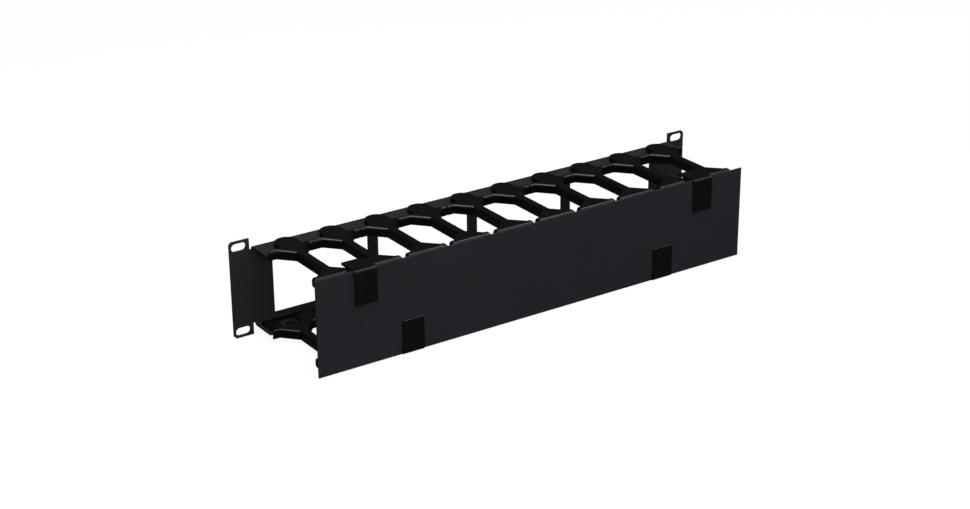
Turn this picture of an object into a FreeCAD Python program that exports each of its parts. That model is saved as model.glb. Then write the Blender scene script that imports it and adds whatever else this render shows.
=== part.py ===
import FreeCAD, Part
import math
import os
import Sketcher

# Horizontal cable manager, two rack units high, for the front of a 19-inch rack.
# A folded steel channel with rack ears carries ten moulded finger modules, five along each flange.
# A flat steel cover hangs in front of the finger heads on four black hinge clips, two at the top
# and two at the bottom, so that it drops down, swings up or comes off.
# Frame: X to the right along the rack, Y to the rear, Z up. The origin is the middle of the
# mounting face, which is the rear face of the ears. Depths are measured forward from the front
# face of the back panel.

os.makedirs("parts", exist_ok=True)
document = FreeCAD.newDocument("horizontal_cable_manager")

# Driving sizes, in millimetres unless the note says otherwise.
SIZES = [
    ("sheet_thickness", 2.0, "steel of the channel"),
    ("bend_inside_radius", 1.0, "inside radius of the two folds"),
    ("panel_width", 482.6, "over the ears, the 19-inch rack width"),
    ("panel_height", 87.2, "over the ears, two rack units less play"),
    ("flange_length", 441.0, "length of the channel between the ears"),
    ("flange_level", 36.3, "outer face of a flange above the middle"),
    ("flange_depth", 24.6, "front edge of a flange"),
    ("ear_relief_width", 2.2, "slit between an ear and the end of a flange"),
    ("ear_corner_cut", 2.2, "cut across the outer corners of the ears"),
    ("slot_span", 465.1, "between the left and right rack slots"),
    ("slot_rise", 76.2, "between the lower and upper rack slots"),
    ("slot_length", 13.7, "rack slot end to end"),
    ("slot_width", 7.0, "rack slot across"),
    ("slot_land", 0.8, "least steel round a rack slot"),
    ("window_pitch", 103.4, "between the middles of the rear windows"),
    ("window_width", 93.4, "rear window along the rack"),
    ("window_height", 58.0, "rear window, upright"),
    ("window_corner_radius", 1.2, "corners of the rear windows"),
    ("window_count", 4, "rear windows, a plain count"),
    ("latch_hole_width", 6.0, "hole in the flange for a latch nub, along the rack"),
    ("latch_hole_depth", 4.4, "the same hole, front to back"),
    ("latch_depth", 16.2, "middle of the latch holes"),
    ("finger_pitch", 43.75, "average between neighbouring fingers, half a module's length"),
    ("finger_spacing", 43.2, "between the two fingers of one module"),
    ("finger_count", 10, "fingers along one flange, a plain count"),
    ("module_gap", 1.0, "seam between neighbouring modules"),
    ("pad_thickness", 4.1, "moulding outside the flange"),
    ("plate_thickness", 3.0, "moulding inside the flange"),
    ("moulding_bevel", 1.6, "bevel along the fingers' edges"),
    ("grip_clearance", 0.1, "between the moulding and the flange that it grips"),
    ("bar_back", 24.8, "rear face of the bar in front of the flange edge"),
    ("bar_front", 27.2, "front face of that bar"),
    ("pad_radius", 10.3, "half width and round end of the pad on the flange"),
    ("pad_back", 5.5, "rear end of the pad"),
    ("plate_back", 5.0, "rear edge of the plate inside the flange"),
    ("plate_corner_cut", 4.0, "cut across the rear corners of that plate"),
    ("bed_half_width", 12.5, "floor of the hollow round the latch tongue, half along the rack"),
    ("bed_brim_half_width", 18.0, "brim of that hollow, half along the rack"),
    ("bed_back", 6.2, "rear edge of that hollow"),
    ("bed_front", 23.6, "front edge of that hollow"),
    ("bed_sink", 1.2, "depth of that hollow"),
    ("tongue_half_width", 4.0, "latch tongue, half along the rack"),
    ("tongue_back", 14.4, "free end of the latch tongue"),
    ("tongue_root", 22.8, "front end of the slot round the tongue"),
    ("tongue_slot_half_width", 8.4, "outside of the slot round the tongue"),
    ("tongue_slot_back", 6.8, "rear edge of the slot round the tongue"),
    ("tongue_slot_corner_cut", 3.6, "cut across the slot's rear corners"),
    ("nub_play", 0.4, "between the latch nub and its hole"),
    ("nub_rise", 1.4, "latch nub into the flange"),
    ("shoulder_half_width", 16.2, "where a finger's shoulder meets the bar"),
    ("shoulder_front", 40.2, "where the shoulder meets the arm"),
    ("arm_half_width", 4.6, "finger arm, half along the rack"),
    ("arm_front", 81.0, "where the arm starts to flare"),
    ("flare_half_width", 15.2, "flare where it meets the head"),
    ("head_half_width", 19.45, "finger head, half along the rack"),
    ("head_back", 91.8, "rear face of the finger heads"),
    ("head_front", 98.3, "front face of the finger heads"),
    ("cover_width", 442.5, "cover along the rack"),
    ("cover_height", 85.6, "cover, upright"),
    ("cover_thickness", 1.2, "steel of the cover"),
    ("cover_front", 106.5, "front face of the cover"),
    ("clip_width", 20.8, "hinge clip along the rack"),
    ("clip_thickness", 1.8, "wall of the clip's leaf"),
    ("hook_thickness", 2.4, "wall of the clip's hook plate"),
    ("hook_play", 0.3, "between the hook plate and the finger heads"),
    ("clip_back", 88.7, "rear edge of a clip's hook plate"),
    ("clip_seat", 0.1, "between a clip and the cover"),
    ("leaf_height", 31.2, "outer face of the hook plate to the free edge of the leaf"),
    ("leaf_corner_radius", 1.0, "corners of the leaf's free edge"),
    ("knuckle_radius", 2.8, "knuckles, which round the clip's corner"),
    ("pin_radius", 0.9, "hinge pin"),
    ("pin_clearance", 0.1, "between the pin and the leaf's knuckles"),
    ("pin_seat", 0.02, "between the pin and the hook plate's knuckle"),
    ("hook_knuckle_width", 5.2, "middle knuckle of a clip"),
    ("knuckle_gap", 0.3, "between neighbouring knuckles"),
    ("knuckle_room", 0.35, "round a knuckle that turns"),
    ("key_play", 0.3, "beside the clip's key and its lip"),
    ("key_inset", 0.4, "key inside the finger heads' front and rear faces"),
    ("hook_lip_thickness", 1.4, "lip behind the finger heads, between their flares"),
    ("hook_lip_gap", 0.4, "lowest point of the lip under the heads' outer face"),
    ("snap_width", 5.0, "snap through the cover, along the rack"),
    ("snap_height", 3.0, "the same snap, upright"),
    ("snap_clearance", 0.15, "between a snap and its hole in the cover"),
    ("snap_catch", 0.45, "barb of a snap past its hole, above and below"),
    ("snap_barb_length", 1.8, "barb behind the cover"),
    ("snap_tip_height", 1.8, "end of the barb, upright"),
    ("snap_upper_drop", 9.8, "outer face of the hook plate to the upper snap"),
    ("snap_lower_drop", 24.8, "outer face of the hook plate to the lower snap"),
    ("top_clip_step", 4, "top clips from the middle, in finger pitches"),
    ("bottom_clip_step", 3, "bottom clips from the middle, in finger pitches"),
]

sheet = document.addObject("Spreadsheet::Sheet", "Sizes")
for row, (alias, number, note) in enumerate(SIZES, start=1):
    sheet.set("A%d" % row, note)
    sheet.set("B%d" % row, str(number))
    sheet.setAlias("B%d" % row, alias)
document.recompute()


class Length:
    """A length that knows its value now and the sheet expression that gives it."""

    def __init__(self, value, text):
        self.value = float(value)
        self.text = text

    def joined(self, other, sign, value):
        return Length(value, "(" + self.text + " " + sign + " " + other.text + ")")

    def __add__(self, other):
        other = as_length(other)
        return self.joined(other, "+", self.value + other.value)

    def __sub__(self, other):
        other = as_length(other)
        return self.joined(other, "-", self.value - other.value)

    def __mul__(self, other):
        other = as_length(other)
        return self.joined(other, "*", self.value * other.value)

    def __truediv__(self, other):
        other = as_length(other)
        return self.joined(other, "/", self.value / other.value)

    def __neg__(self):
        return Length(-self.value, "(0 - " + self.text + ")")


def as_length(number):
    """Give a plain number the form of a Length."""
    if isinstance(number, Length):
        return number
    return Length(number, str(number))


class Sizes:
    """The sheet's sizes by name."""

    def __getattr__(self, alias):
        return Length(sheet.get(alias), "Sizes." + alias)


size = Sizes()
zero = as_length(0)


def depth(distance):
    """Y of a point that lies this far in front of the back panel's front face."""
    return -(size.sheet_thickness + distance)


# Levels above the middle, and depths, that several pieces share.
pad_face = size.flange_level + size.grip_clearance
plate_face = size.flange_level - size.sheet_thickness - size.grip_clearance
moulding_top = pad_face + size.pad_thickness
moulding_inner = plate_face - size.plate_thickness
hook_face = moulding_top + size.hook_play
clip_top = hook_face + size.hook_thickness
pin_level = clip_top - size.knuckle_radius
leaf_back = size.cover_front + size.clip_seat
pin_depth = leaf_back + size.clip_thickness - size.knuckle_radius


# Sketch and feature helpers.

def sketch_on(body, plane_role, name, offset=zero):
    """Start a sketch on one of the body's own origin planes, moved along the plane's normal."""
    sketch = body.newObject("Sketcher::SketchObject", name)
    plane = [item for item in body.Origin.OriginFeatures if item.Role == plane_role][0]
    sketch.AttachmentSupport = [(plane, "")]
    sketch.MapMode = "FlatFace"
    sketch.setExpression("AttachmentOffset.Base.z", offset.text)
    return sketch


def constrain(sketch, value, *parts):
    """Add one constraint whose size follows the sheet."""
    number = sketch.addConstraint(Sketcher.Constraint(*parts, value.value))
    sketch.setExpression("Constraints[%d]" % number, value.text)


def place_point(sketch, geometry, point, place):
    """Hold a point of the sketch at its distances from the sketch's origin."""
    constrain(sketch, place[0], "DistanceX", -1, 1, geometry, point)
    constrain(sketch, place[1], "DistanceY", -1, 1, geometry, point)


def as_vector(place):
    """Turn a pair of lengths into a sketch point."""
    return FreeCAD.Vector(place[0].value, place[1].value, 0)


def draw_outline(sketch, corners):
    """Draw a closed outline of straight lines through the corners."""
    first = sketch.GeometryCount
    count = len(corners)
    for index in range(count):
        line = Part.LineSegment(as_vector(corners[index]), as_vector(corners[(index + 1) % count]))
        sketch.addGeometry(line, False)
    for index in range(count):
        following = first + (index + 1) % count
        sketch.addConstraint(Sketcher.Constraint("Coincident", first + index, 2, following, 1))
    for index, corner in enumerate(corners):
        place_point(sketch, first + index, 1, corner)


def draw_box(sketch, left, right, low, high):
    """Draw a rectangle."""
    draw_outline(sketch, [(left, low), (right, low), (right, high), (left, high)])


def draw_circle(sketch, centre, radius):
    """Draw a circle."""
    circle = Part.Circle(as_vector(centre), FreeCAD.Vector(0, 0, 1), radius.value)
    number = sketch.addGeometry(circle, False)
    place_point(sketch, number, 3, centre)
    constrain(sketch, radius, "Radius", number)


def draw_slot(sketch, start, end, radius, turn):
    """Draw a slot round two centres; turn is the direction from the first to the second."""
    centres = [as_vector(start), as_vector(end)]
    side = FreeCAD.Vector(-math.sin(turn), math.cos(turn), 0) * radius.value
    quarter = math.pi / 2
    first = sketch.GeometryCount
    for centre, middle in ((centres[1], turn), (centres[0], turn + math.pi)):
        circle = Part.Circle(centre, FreeCAD.Vector(0, 0, 1), radius.value)
        sketch.addGeometry(Part.ArcOfCircle(circle, middle - quarter, middle + quarter), False)
    sketch.addGeometry(Part.LineSegment(centres[1] + side, centres[0] + side), False)
    sketch.addGeometry(Part.LineSegment(centres[0] - side, centres[1] - side), False)
    joints = ((first, 2, first + 2, 1), (first + 2, 2, first + 1, 1),
              (first + 1, 2, first + 3, 1), (first + 3, 2, first, 1))
    for joint in joints:
        sketch.addConstraint(Sketcher.Constraint("Tangent", *joint))
    place_point(sketch, first, 3, end)
    place_point(sketch, first + 1, 3, start)
    constrain(sketch, radius, "Radius", first)


def add_pad(body, sketch, name, length, both_ways=False):
    """Grow a sketch into a solid."""
    pad = body.newObject("PartDesign::Pad", name)
    pad.Profile = sketch
    pad.SideType = "Symmetric" if both_ways else "One side"
    pad.setExpression("Length", length.text)
    document.recompute()
    return pad


def add_pocket(body, sketch, name, length, backwards=False, both_ways=False):
    """Cut a sketch out of the body and make sure that it did cut."""
    before = body.Shape.Volume
    pocket = body.newObject("PartDesign::Pocket", name)
    pocket.Profile = sketch
    pocket.SideType = "Symmetric" if both_ways else "One side"
    pocket.Reversed = backwards
    pocket.setExpression("Length", length.text)
    document.recompute()
    if not body.Shape.Volume < before:
        raise RuntimeError(name + " cut nothing")
    return pocket


def repeat_along_x(body, feature, name, pitch, count):
    """Repeat a feature along the rack."""
    pattern = body.newObject("PartDesign::LinearPattern", name)
    pattern.Originals = [feature]
    pattern.Direction = (feature.Profile[0], ["H_Axis"])
    pattern.setExpression("Length", (pitch * (count - 1)).text)
    pattern.setExpression("Occurrences", count.text)
    body.Tip = pattern
    document.recompute()
    return pattern


def edges_where(shape, wanted):
    """Name the edges whose box passes the test."""
    return ["Edge%d" % number for number, edge in enumerate(shape.Edges, start=1)
            if wanted(edge.BoundBox)]


def round_edges(body, name, radius, wanted):
    """Round the chosen edges of the body."""
    base = body.Tip
    fillet = body.newObject("PartDesign::Fillet", name)
    fillet.Base = (base, edges_where(base.Shape, wanted))
    fillet.setExpression("Radius", radius.text)
    document.recompute()
    return fillet


def bevel_edges(body, name, width, wanted):
    """Bevel the chosen edges of the body."""
    base = body.Tip
    chamfer = body.newObject("PartDesign::Chamfer", name)
    chamfer.Base = (base, edges_where(base.Shape, wanted))
    chamfer.setExpression("Size", width.text)
    document.recompute()
    return chamfer


NEAR = 1e-4


def lies_at(low, high, level):
    """Tell whether a stretch from low to high lies at one level."""
    return abs(low - level.value) < NEAR and abs(high - level.value) < NEAR


def new_body(name):
    """Start a piece of its own."""
    body = document.addObject("PartDesign::Body", name)
    body.Label = name
    return body


def place_copy(master, name, across, turned):
    """Set one more of a moulding in the assembly, turned over about Y for the lower side."""
    copy = document.addObject("Part::Compound", name)
    copy.Label = name
    copy.Links = [master]
    half_turn = 180 if turned else 0
    copy.Placement = FreeCAD.Placement(FreeCAD.Vector(), FreeCAD.Rotation(FreeCAD.Vector(0, 1, 0), half_turn))
    copy.setExpression("Placement.Base.x", across.text)
    return copy


# The channel with its ears.

def make_chassis():
    """Fold the channel, add the ears, then cut windows, rack slots and latch holes."""
    body = new_body("chassis")
    web = -size.sheet_thickness
    edge = depth(size.flange_depth)
    inside = size.flange_level - size.sheet_thickness
    profile = sketch_on(body, "YZ_Plane", "channel_profile")
    draw_outline(profile, [
        (zero, -size.flange_level), (zero, size.flange_level), (edge, size.flange_level),
        (edge, inside), (web, inside), (web, -inside), (edge, -inside), (edge, -size.flange_level)])
    add_pad(body, profile, "channel", size.flange_length, both_ways=True)
    round_edges(body, "outer_folds", size.bend_inside_radius + size.sheet_thickness,
                lambda box: lies_at(box.YMin, box.YMax, zero)
                and abs(abs(box.ZMin) - size.flange_level.value) < NEAR and box.XLength > NEAR)
    round_edges(body, "inner_folds", size.bend_inside_radius,
                lambda box: lies_at(box.YMin, box.YMax, web)
                and abs(abs(box.ZMin) - inside.value) < NEAR and box.XLength > NEAR)

    ears = sketch_on(body, "XZ_Plane", "ear_outlines")
    root = size.flange_level - size.sheet_thickness - size.bend_inside_radius
    half_height = size.panel_height / 2
    half_width = size.panel_width / 2
    inner = size.flange_length / 2 - size.sheet_thickness
    slit = size.flange_length / 2 + size.ear_relief_width
    for side in (-1, 1):
        right_half = [
            (inner, -root), (slit, -root), (slit, -half_height),
            (half_width - size.ear_corner_cut, -half_height),
            (half_width, size.ear_corner_cut - half_height),
            (half_width, half_height - size.ear_corner_cut),
            (half_width - size.ear_corner_cut, half_height), (slit, half_height),
            (slit, root), (inner, root)]
        draw_outline(ears, [(across * side, up) for across, up in right_half])
    add_pad(body, ears, "ears", size.sheet_thickness)

    lands = sketch_on(body, "XZ_Plane", "slot_land_outlines")
    land_end = (size.slot_span + size.slot_length) / 2 + size.slot_land
    land_half_height = size.slot_width / 2 + size.slot_land
    for side in (-1, 1):
        for level in (-1, 1):
            height = size.slot_rise / 2 * level
            draw_box(lands, slit * side, land_end * side,
                     height - land_half_height, height + land_half_height)
    add_pad(body, lands, "slot_lands", size.sheet_thickness)

    window = sketch_on(body, "XZ_Plane", "first_window")
    first_middle = size.window_pitch * (as_length(1) - size.window_count) / 2
    draw_box(window, first_middle - size.window_width / 2, first_middle + size.window_width / 2,
             -size.window_height / 2, size.window_height / 2)
    opening = add_pocket(body, window, "window", size.sheet_thickness, backwards=True)
    repeat_along_x(body, opening, "windows", size.window_pitch, size.window_count)
    round_edges(body, "window_corners", size.window_corner_radius,
                lambda box: box.XLength < NEAR and box.ZLength < NEAR
                and abs(abs(box.ZMin) - size.window_height.value / 2) < NEAR)

    slots = sketch_on(body, "XZ_Plane", "rack_slots")
    reach = (size.slot_length - size.slot_width) / 2
    for side in (-1, 1):
        for level in (-1, 1):
            middle = size.slot_span / 2 * side
            height = size.slot_rise / 2 * level
            draw_slot(slots, (middle - reach, height), (middle + reach, height),
                      size.slot_width / 2, 0)
    add_pocket(body, slots, "rack_slot_cuts", size.sheet_thickness, backwards=True)

    holes = sketch_on(body, "XY_Plane", "first_latch_holes")
    first_module = size.finger_pitch * (as_length(2) - size.finger_count) / 2
    for side in (-1, 1):
        middle = first_module + size.finger_spacing / 2 * side
        draw_box(holes, middle - size.latch_hole_width / 2, middle + size.latch_hole_width / 2,
                 depth(size.latch_depth + size.latch_hole_depth / 2),
                 depth(size.latch_depth - size.latch_hole_depth / 2))
    latch = add_pocket(body, holes, "latch_hole_pair", size.flange_level * 4, both_ways=True)
    repeat_along_x(body, latch, "latch_holes", size.finger_pitch * 2, size.finger_count / 2)
    return body


# The moulded double finger.

def finger_outline(middle):
    """Half turn round one finger from the bar's front: left shoulder, arm, head and back."""
    left = [
        (middle - size.shoulder_half_width, depth(size.bar_front)),
        (middle - size.arm_half_width, depth(size.shoulder_front)),
        (middle - size.arm_half_width, depth(size.arm_front)),
        (middle - size.flare_half_width, depth(size.head_back)),
        (middle - size.head_half_width, depth(size.head_back)),
        (middle - size.head_half_width, depth(size.head_front))]
    right = [
        (middle + size.head_half_width, depth(size.head_front)),
        (middle + size.head_half_width, depth(size.head_back)),
        (middle + size.flare_half_width, depth(size.head_back)),
        (middle + size.arm_half_width, depth(size.arm_front)),
        (middle + size.arm_half_width, depth(size.shoulder_front)),
        (middle + size.shoulder_half_width, depth(size.bar_front))]
    return left + right


def make_finger_module():
    """Mould two fingers in one piece that grips the flange's front edge like a clamp."""
    body = new_body("finger_module")
    half_module = size.finger_pitch - size.module_gap / 2
    middles = [-size.finger_spacing / 2, size.finger_spacing / 2]

    plan = sketch_on(body, "XY_Plane", "finger_plan", moulding_inner)
    draw_outline(plan, [(half_module, depth(size.bar_back)), (-half_module, depth(size.bar_back)),
                        (-half_module, depth(size.bar_front))]
                 + finger_outline(middles[0]) + finger_outline(middles[1])
                 + [(half_module, depth(size.bar_front))])
    add_pad(body, plan, "fingers", moulding_top - moulding_inner)
    bevel_edges(body, "finger_bevels", size.moulding_bevel,
                lambda box: box.ZLength < NEAR and box.YMin < depth(size.bar_front).value + NEAR)

    pads = sketch_on(body, "XY_Plane", "pad_plan", pad_face)
    for middle in middles:
        draw_slot(pads, (middle, depth(size.bar_back)),
                  (middle, depth(size.pad_back + size.pad_radius)), size.pad_radius, math.pi / 2)
    add_pad(body, pads, "pads", size.pad_thickness)

    plate = sketch_on(body, "XY_Plane", "plate_plan", moulding_inner)
    rear = depth(size.plate_back)
    draw_outline(plate, [
        (-half_module, depth(size.bar_back)), (half_module, depth(size.bar_back)),
        (half_module, rear - size.plate_corner_cut), (half_module - size.plate_corner_cut, rear),
        (size.plate_corner_cut - half_module, rear), (-half_module, rear - size.plate_corner_cut)])
    add_pad(body, plate, "plate", size.plate_thickness)

    beds = sketch_on(body, "XZ_Plane", "bed_profiles", size.sheet_thickness + size.bed_back)
    floor = moulding_inner + size.bed_sink
    for middle in middles:
        draw_outline(beds, [
            (middle - size.bed_brim_half_width, moulding_inner), (middle - size.bed_half_width, floor),
            (middle + size.bed_half_width, floor), (middle + size.bed_brim_half_width, moulding_inner)])
    add_pocket(body, beds, "beds", size.bed_front - size.bed_back, backwards=True)

    slots = sketch_on(body, "XY_Plane", "tongue_slot_plan", moulding_inner)
    for middle in middles:
        outer = size.tongue_slot_half_width
        inner = size.tongue_half_width
        rear = depth(size.tongue_slot_back)
        cut = size.tongue_slot_corner_cut
        draw_outline(slots, [
            (middle - outer, depth(size.tongue_root)), (middle - inner, depth(size.tongue_root)),
            (middle - inner, depth(size.tongue_back)), (middle + inner, depth(size.tongue_back)),
            (middle + inner, depth(size.tongue_root)), (middle + outer, depth(size.tongue_root)),
            (middle + outer, rear - cut), (middle + outer - cut, rear),
            (middle - outer + cut, rear), (middle - outer, rear - cut)])
    add_pocket(body, slots, "tongue_slots", size.plate_thickness, backwards=True)

    nubs = sketch_on(body, "XY_Plane", "nub_plan", plate_face)
    nub_half_width = size.latch_hole_width / 2 - size.nub_play
    nub_half_depth = size.latch_hole_depth / 2 - size.nub_play
    for middle in middles:
        draw_box(nubs, middle - nub_half_width, middle + nub_half_width,
                 depth(size.latch_depth + nub_half_depth), depth(size.latch_depth - nub_half_depth))
    add_pad(body, nubs, "latch_nubs", size.nub_rise)
    return body


# The cover.

def make_cover():
    """Cut the flat cover with a notch for each hinge clip and holes for its snaps."""
    body = new_body("cover")
    back = size.sheet_thickness + size.cover_front - size.cover_thickness
    half_width = size.cover_width / 2
    half_height = size.cover_height / 2
    plate = sketch_on(body, "XZ_Plane", "cover_plan", back)
    draw_box(plate, -half_width, half_width, -half_height, half_height)
    add_pad(body, plate, "cover_sheet", size.cover_thickness)

    notch_half_width = size.clip_width / 2 + size.knuckle_gap
    notch_bottom = pin_level - size.knuckle_radius - size.knuckle_room
    hole_half_width = size.snap_width / 2 + size.snap_clearance
    hole_half_height = size.snap_height / 2 + size.snap_clearance
    notches = sketch_on(body, "XZ_Plane", "notch_plan", back)
    holes = sketch_on(body, "XZ_Plane", "snap_hole_plan", back)
    for level, step in ((1, size.top_clip_step), (-1, size.bottom_clip_step)):
        for side in (-1, 1):
            middle = size.finger_pitch * step * side
            heights = sorted((notch_bottom * level, (half_height + size.knuckle_room) * level),
                             key=lambda height: height.value)
            draw_box(notches, middle - notch_half_width, middle + notch_half_width, *heights)
            for drop in (size.snap_upper_drop, size.snap_lower_drop):
                height = (clip_top - drop) * level
                draw_box(holes, middle - hole_half_width, middle + hole_half_width,
                         height - hole_half_height, height + hole_half_height)
    add_pocket(body, notches, "clip_notches", size.cover_thickness, backwards=True)
    add_pocket(body, holes, "snap_holes", size.cover_thickness, backwards=True)
    return body


# The hinge clips: a leaf on the cover, a hook plate on the finger heads and a pin.

def outer_spans(inner):
    """Give the clip's two outer stretches along X, from this far off its middle to its sides."""
    outer = size.clip_width / 2
    return [(-outer, -inner), (inner, outer)]


def draw_barrel(body, name, left, radius):
    """Draw a circle round the hinge axis, at one place along X."""
    barrel = sketch_on(body, "YZ_Plane", name + "_profile", left)
    draw_circle(barrel, (depth(pin_depth), pin_level), radius)
    return barrel


def add_knuckle(body, name, left, right, radius):
    """Add a round barrel along X between two places, on the hinge axis."""
    return add_pad(body, draw_barrel(body, name, left, radius), name, right - left)


def clear_barrel(body, name, left, right, radius):
    """Cut a round barrel along X between two places, on the hinge axis."""
    return add_pocket(body, draw_barrel(body, name, left, radius), name, right - left, backwards=True)


def make_leaf():
    """Mould the leaf: a plate on the cover's face, two snap-on knuckles and two snaps."""
    body = new_body("hinge_leaf")
    outer = size.clip_width / 2
    middle = size.hook_knuckle_width / 2 + size.knuckle_gap
    free_edge = clip_top - size.leaf_height
    plate = sketch_on(body, "XZ_Plane", "leaf_plan", size.sheet_thickness + leaf_back)
    draw_box(plate, -outer, outer, free_edge, pin_level)
    add_pad(body, plate, "leaf_plate", size.clip_thickness)
    round_edges(body, "leaf_corners", size.leaf_corner_radius,
                lambda box: lies_at(box.ZMin, box.ZMax, free_edge) and box.XLength < NEAR)
    clear_barrel(body, "hook_knuckle_room", -middle, middle, size.knuckle_radius + size.knuckle_room)
    for number, (left, right) in enumerate(outer_spans(middle), start=1):
        add_knuckle(body, "leaf_knuckle_%d" % number, left, right, size.knuckle_radius)

    bore_radius = size.pin_radius + size.pin_clearance
    clear_barrel(body, "bore", -outer, outer, bore_radius)
    mouth = sketch_on(body, "YZ_Plane", "mouth_profile", -outer)
    draw_box(mouth, depth(pin_depth), depth(pin_depth - size.knuckle_radius - size.knuckle_room),
             pin_level - bore_radius, pin_level + bore_radius)
    add_pocket(body, mouth, "mouth", size.clip_width, backwards=True)

    snaps = sketch_on(body, "YZ_Plane", "snap_profiles")
    root = depth(leaf_back)
    catch = depth(leaf_back - size.cover_thickness - size.clip_seat * 2)
    tip = catch + size.snap_barb_length
    shank = size.snap_height / 2
    barb = shank + size.snap_catch
    for drop in (size.snap_upper_drop, size.snap_lower_drop):
        height = clip_top - drop
        draw_outline(snaps, [
            (root, height - shank), (catch, height - shank), (catch, height - barb),
            (tip, height - size.snap_tip_height / 2), (tip, height + size.snap_tip_height / 2),
            (catch, height + barb), (catch, height + shank), (root, height + shank)])
    add_pad(body, snaps, "snaps", size.snap_width, both_ways=True)
    return body


def make_hook_plate():
    """Mould the hook plate: middle knuckle, plate over the heads, key between them and lip."""
    body = new_body("hook_plate")
    outer = size.clip_width / 2
    middle = size.hook_knuckle_width / 2
    rear = depth(size.clip_back)
    plate = sketch_on(body, "XY_Plane", "hook_plan", hook_face)
    draw_box(plate, -outer, outer, depth(pin_depth), rear)
    add_pad(body, plate, "hook_sheet", size.hook_thickness)
    for number, (left, right) in enumerate(outer_spans(middle), start=1):
        clear_barrel(body, "leaf_knuckle_room_%d" % number, left, right,
                     size.knuckle_radius + size.knuckle_room)
    add_knuckle(body, "hook_knuckle", -middle, middle, size.knuckle_radius)
    clear_barrel(body, "hook_bore", -middle, middle, size.pin_radius + size.pin_seat)

    key_half_width = size.finger_spacing / 2 - size.head_half_width - size.key_play
    key_level = moulding_inner + size.moulding_bevel
    key = sketch_on(body, "XY_Plane", "key_plan", key_level)
    draw_box(key, -key_half_width, key_half_width, depth(size.head_front - size.key_inset),
             depth(size.head_back + size.key_inset))
    add_pad(body, key, "key", hook_face - key_level)

    lip_level = moulding_top - size.hook_lip_gap
    lip = sketch_on(body, "XY_Plane", "lip_plan", lip_level)
    lip_half_width = size.finger_spacing / 2 - size.flare_half_width - size.key_play
    draw_box(lip, -lip_half_width, lip_half_width, rear - size.hook_lip_thickness, rear)
    add_pad(body, lip, "lip", hook_face - lip_level)
    return body


def make_pin():
    """Turn the hinge pin, as long as the clip is wide."""
    body = new_body("hinge_pin")
    add_knuckle(body, "pin", -size.clip_width / 2, size.clip_width / 2, size.pin_radius)
    return body


# The assembly.

def build():
    """Make every piece and return those that are written out."""
    pieces = [make_chassis(), make_cover()]
    module = make_finger_module()
    module_count = size.finger_count / 2
    for turned, side_name in ((False, "top"), (True, "bottom")):
        for number in range(int(module_count.value)):
            across = size.finger_pitch * 2 * (as_length(number + 0.5) - module_count / 2)
            name = "%s_finger_module_%d" % (side_name, number + 1)
            pieces.append(place_copy(module, name, across, turned))
    clip_parts = ((make_leaf(), "cover_leaf"), (make_hook_plate(), "hook_plate"),
                  (make_pin(), "hinge_pin"))
    for turned, level_name, step in ((False, "top", size.top_clip_step),
                                     (True, "bottom", size.bottom_clip_step)):
        for side, side_name in ((-1, "left"), (1, "right")):
            across = size.finger_pitch * step * side
            for master, part_name in clip_parts:
                name = "%s_%s_%s" % (level_name, side_name, part_name)
                pieces.append(place_copy(master, name, across, turned))
    document.recompute()
    return pieces


def check(pieces):
    """Stop if any object failed or any piece has no sound solid."""
    for item in document.Objects:
        if "Invalid" in item.State or "Error" in item.State:
            raise RuntimeError(item.Label + " failed: " + str(item.State))
    for piece in pieces:
        shape = piece.Shape
        if shape.isNull() or not shape.isValid() or len(shape.Solids) != 1:
            raise RuntimeError(piece.Label + " has no sound single solid")


pieces = build()
check(pieces)
for piece in pieces:
    piece.Shape.exportStep("parts/" + piece.Label + ".step")
    box = piece.Shape.BoundBox
    print("%-28s %9.1f mm3  X %.1f..%.1f  Y %.1f..%.1f  Z %.1f..%.1f" % (
        piece.Label, piece.Shape.Volume, box.XMin, box.XMax, box.YMin, box.YMax, box.ZMin, box.ZMax))
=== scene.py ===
"""Looks of a horizontal cable manager, two rack units high, for the front of a 19-inch rack.

Units are metres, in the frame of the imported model: X to the right along the rack, Y to the rear,
Z up, with the origin in the middle of the mounting face.
"""

import logging
import math
from collections.abc import Callable, Iterator
from contextlib import contextmanager
from dataclasses import dataclass, field
from enum import Enum

import bmesh
import bpy
from mathutils import Matrix, Vector


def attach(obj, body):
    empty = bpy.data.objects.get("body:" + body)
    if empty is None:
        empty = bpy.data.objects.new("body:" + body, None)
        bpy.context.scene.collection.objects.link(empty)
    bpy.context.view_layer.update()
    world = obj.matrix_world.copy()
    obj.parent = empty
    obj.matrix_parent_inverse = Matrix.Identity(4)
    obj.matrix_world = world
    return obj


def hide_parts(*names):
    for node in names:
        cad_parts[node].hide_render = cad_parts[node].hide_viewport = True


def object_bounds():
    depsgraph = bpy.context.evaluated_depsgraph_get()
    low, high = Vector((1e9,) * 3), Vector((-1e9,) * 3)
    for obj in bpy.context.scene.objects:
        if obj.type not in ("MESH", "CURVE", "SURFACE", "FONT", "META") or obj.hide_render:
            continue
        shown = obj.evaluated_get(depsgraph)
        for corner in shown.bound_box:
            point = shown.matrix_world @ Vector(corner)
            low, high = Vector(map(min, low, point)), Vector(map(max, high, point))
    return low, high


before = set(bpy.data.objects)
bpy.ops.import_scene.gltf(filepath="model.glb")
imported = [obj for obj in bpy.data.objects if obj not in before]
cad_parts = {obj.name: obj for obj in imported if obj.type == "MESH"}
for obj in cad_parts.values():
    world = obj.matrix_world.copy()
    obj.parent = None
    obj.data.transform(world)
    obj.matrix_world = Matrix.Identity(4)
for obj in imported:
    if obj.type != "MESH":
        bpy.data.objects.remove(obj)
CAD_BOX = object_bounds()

LOG = logging.getLogger("cable_manager")

MM = 0.001
# Distance that counts as none.
NEAR = 0.01 * MM
# How near to a level a corner is put on it exactly.
SNAP = 0.001 * MM
# Distance under which corners are welded.
WELD = 0.002 * MM
# How far a cutter reaches past its cut.
OVERCUT = 1.0 * MM
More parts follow.
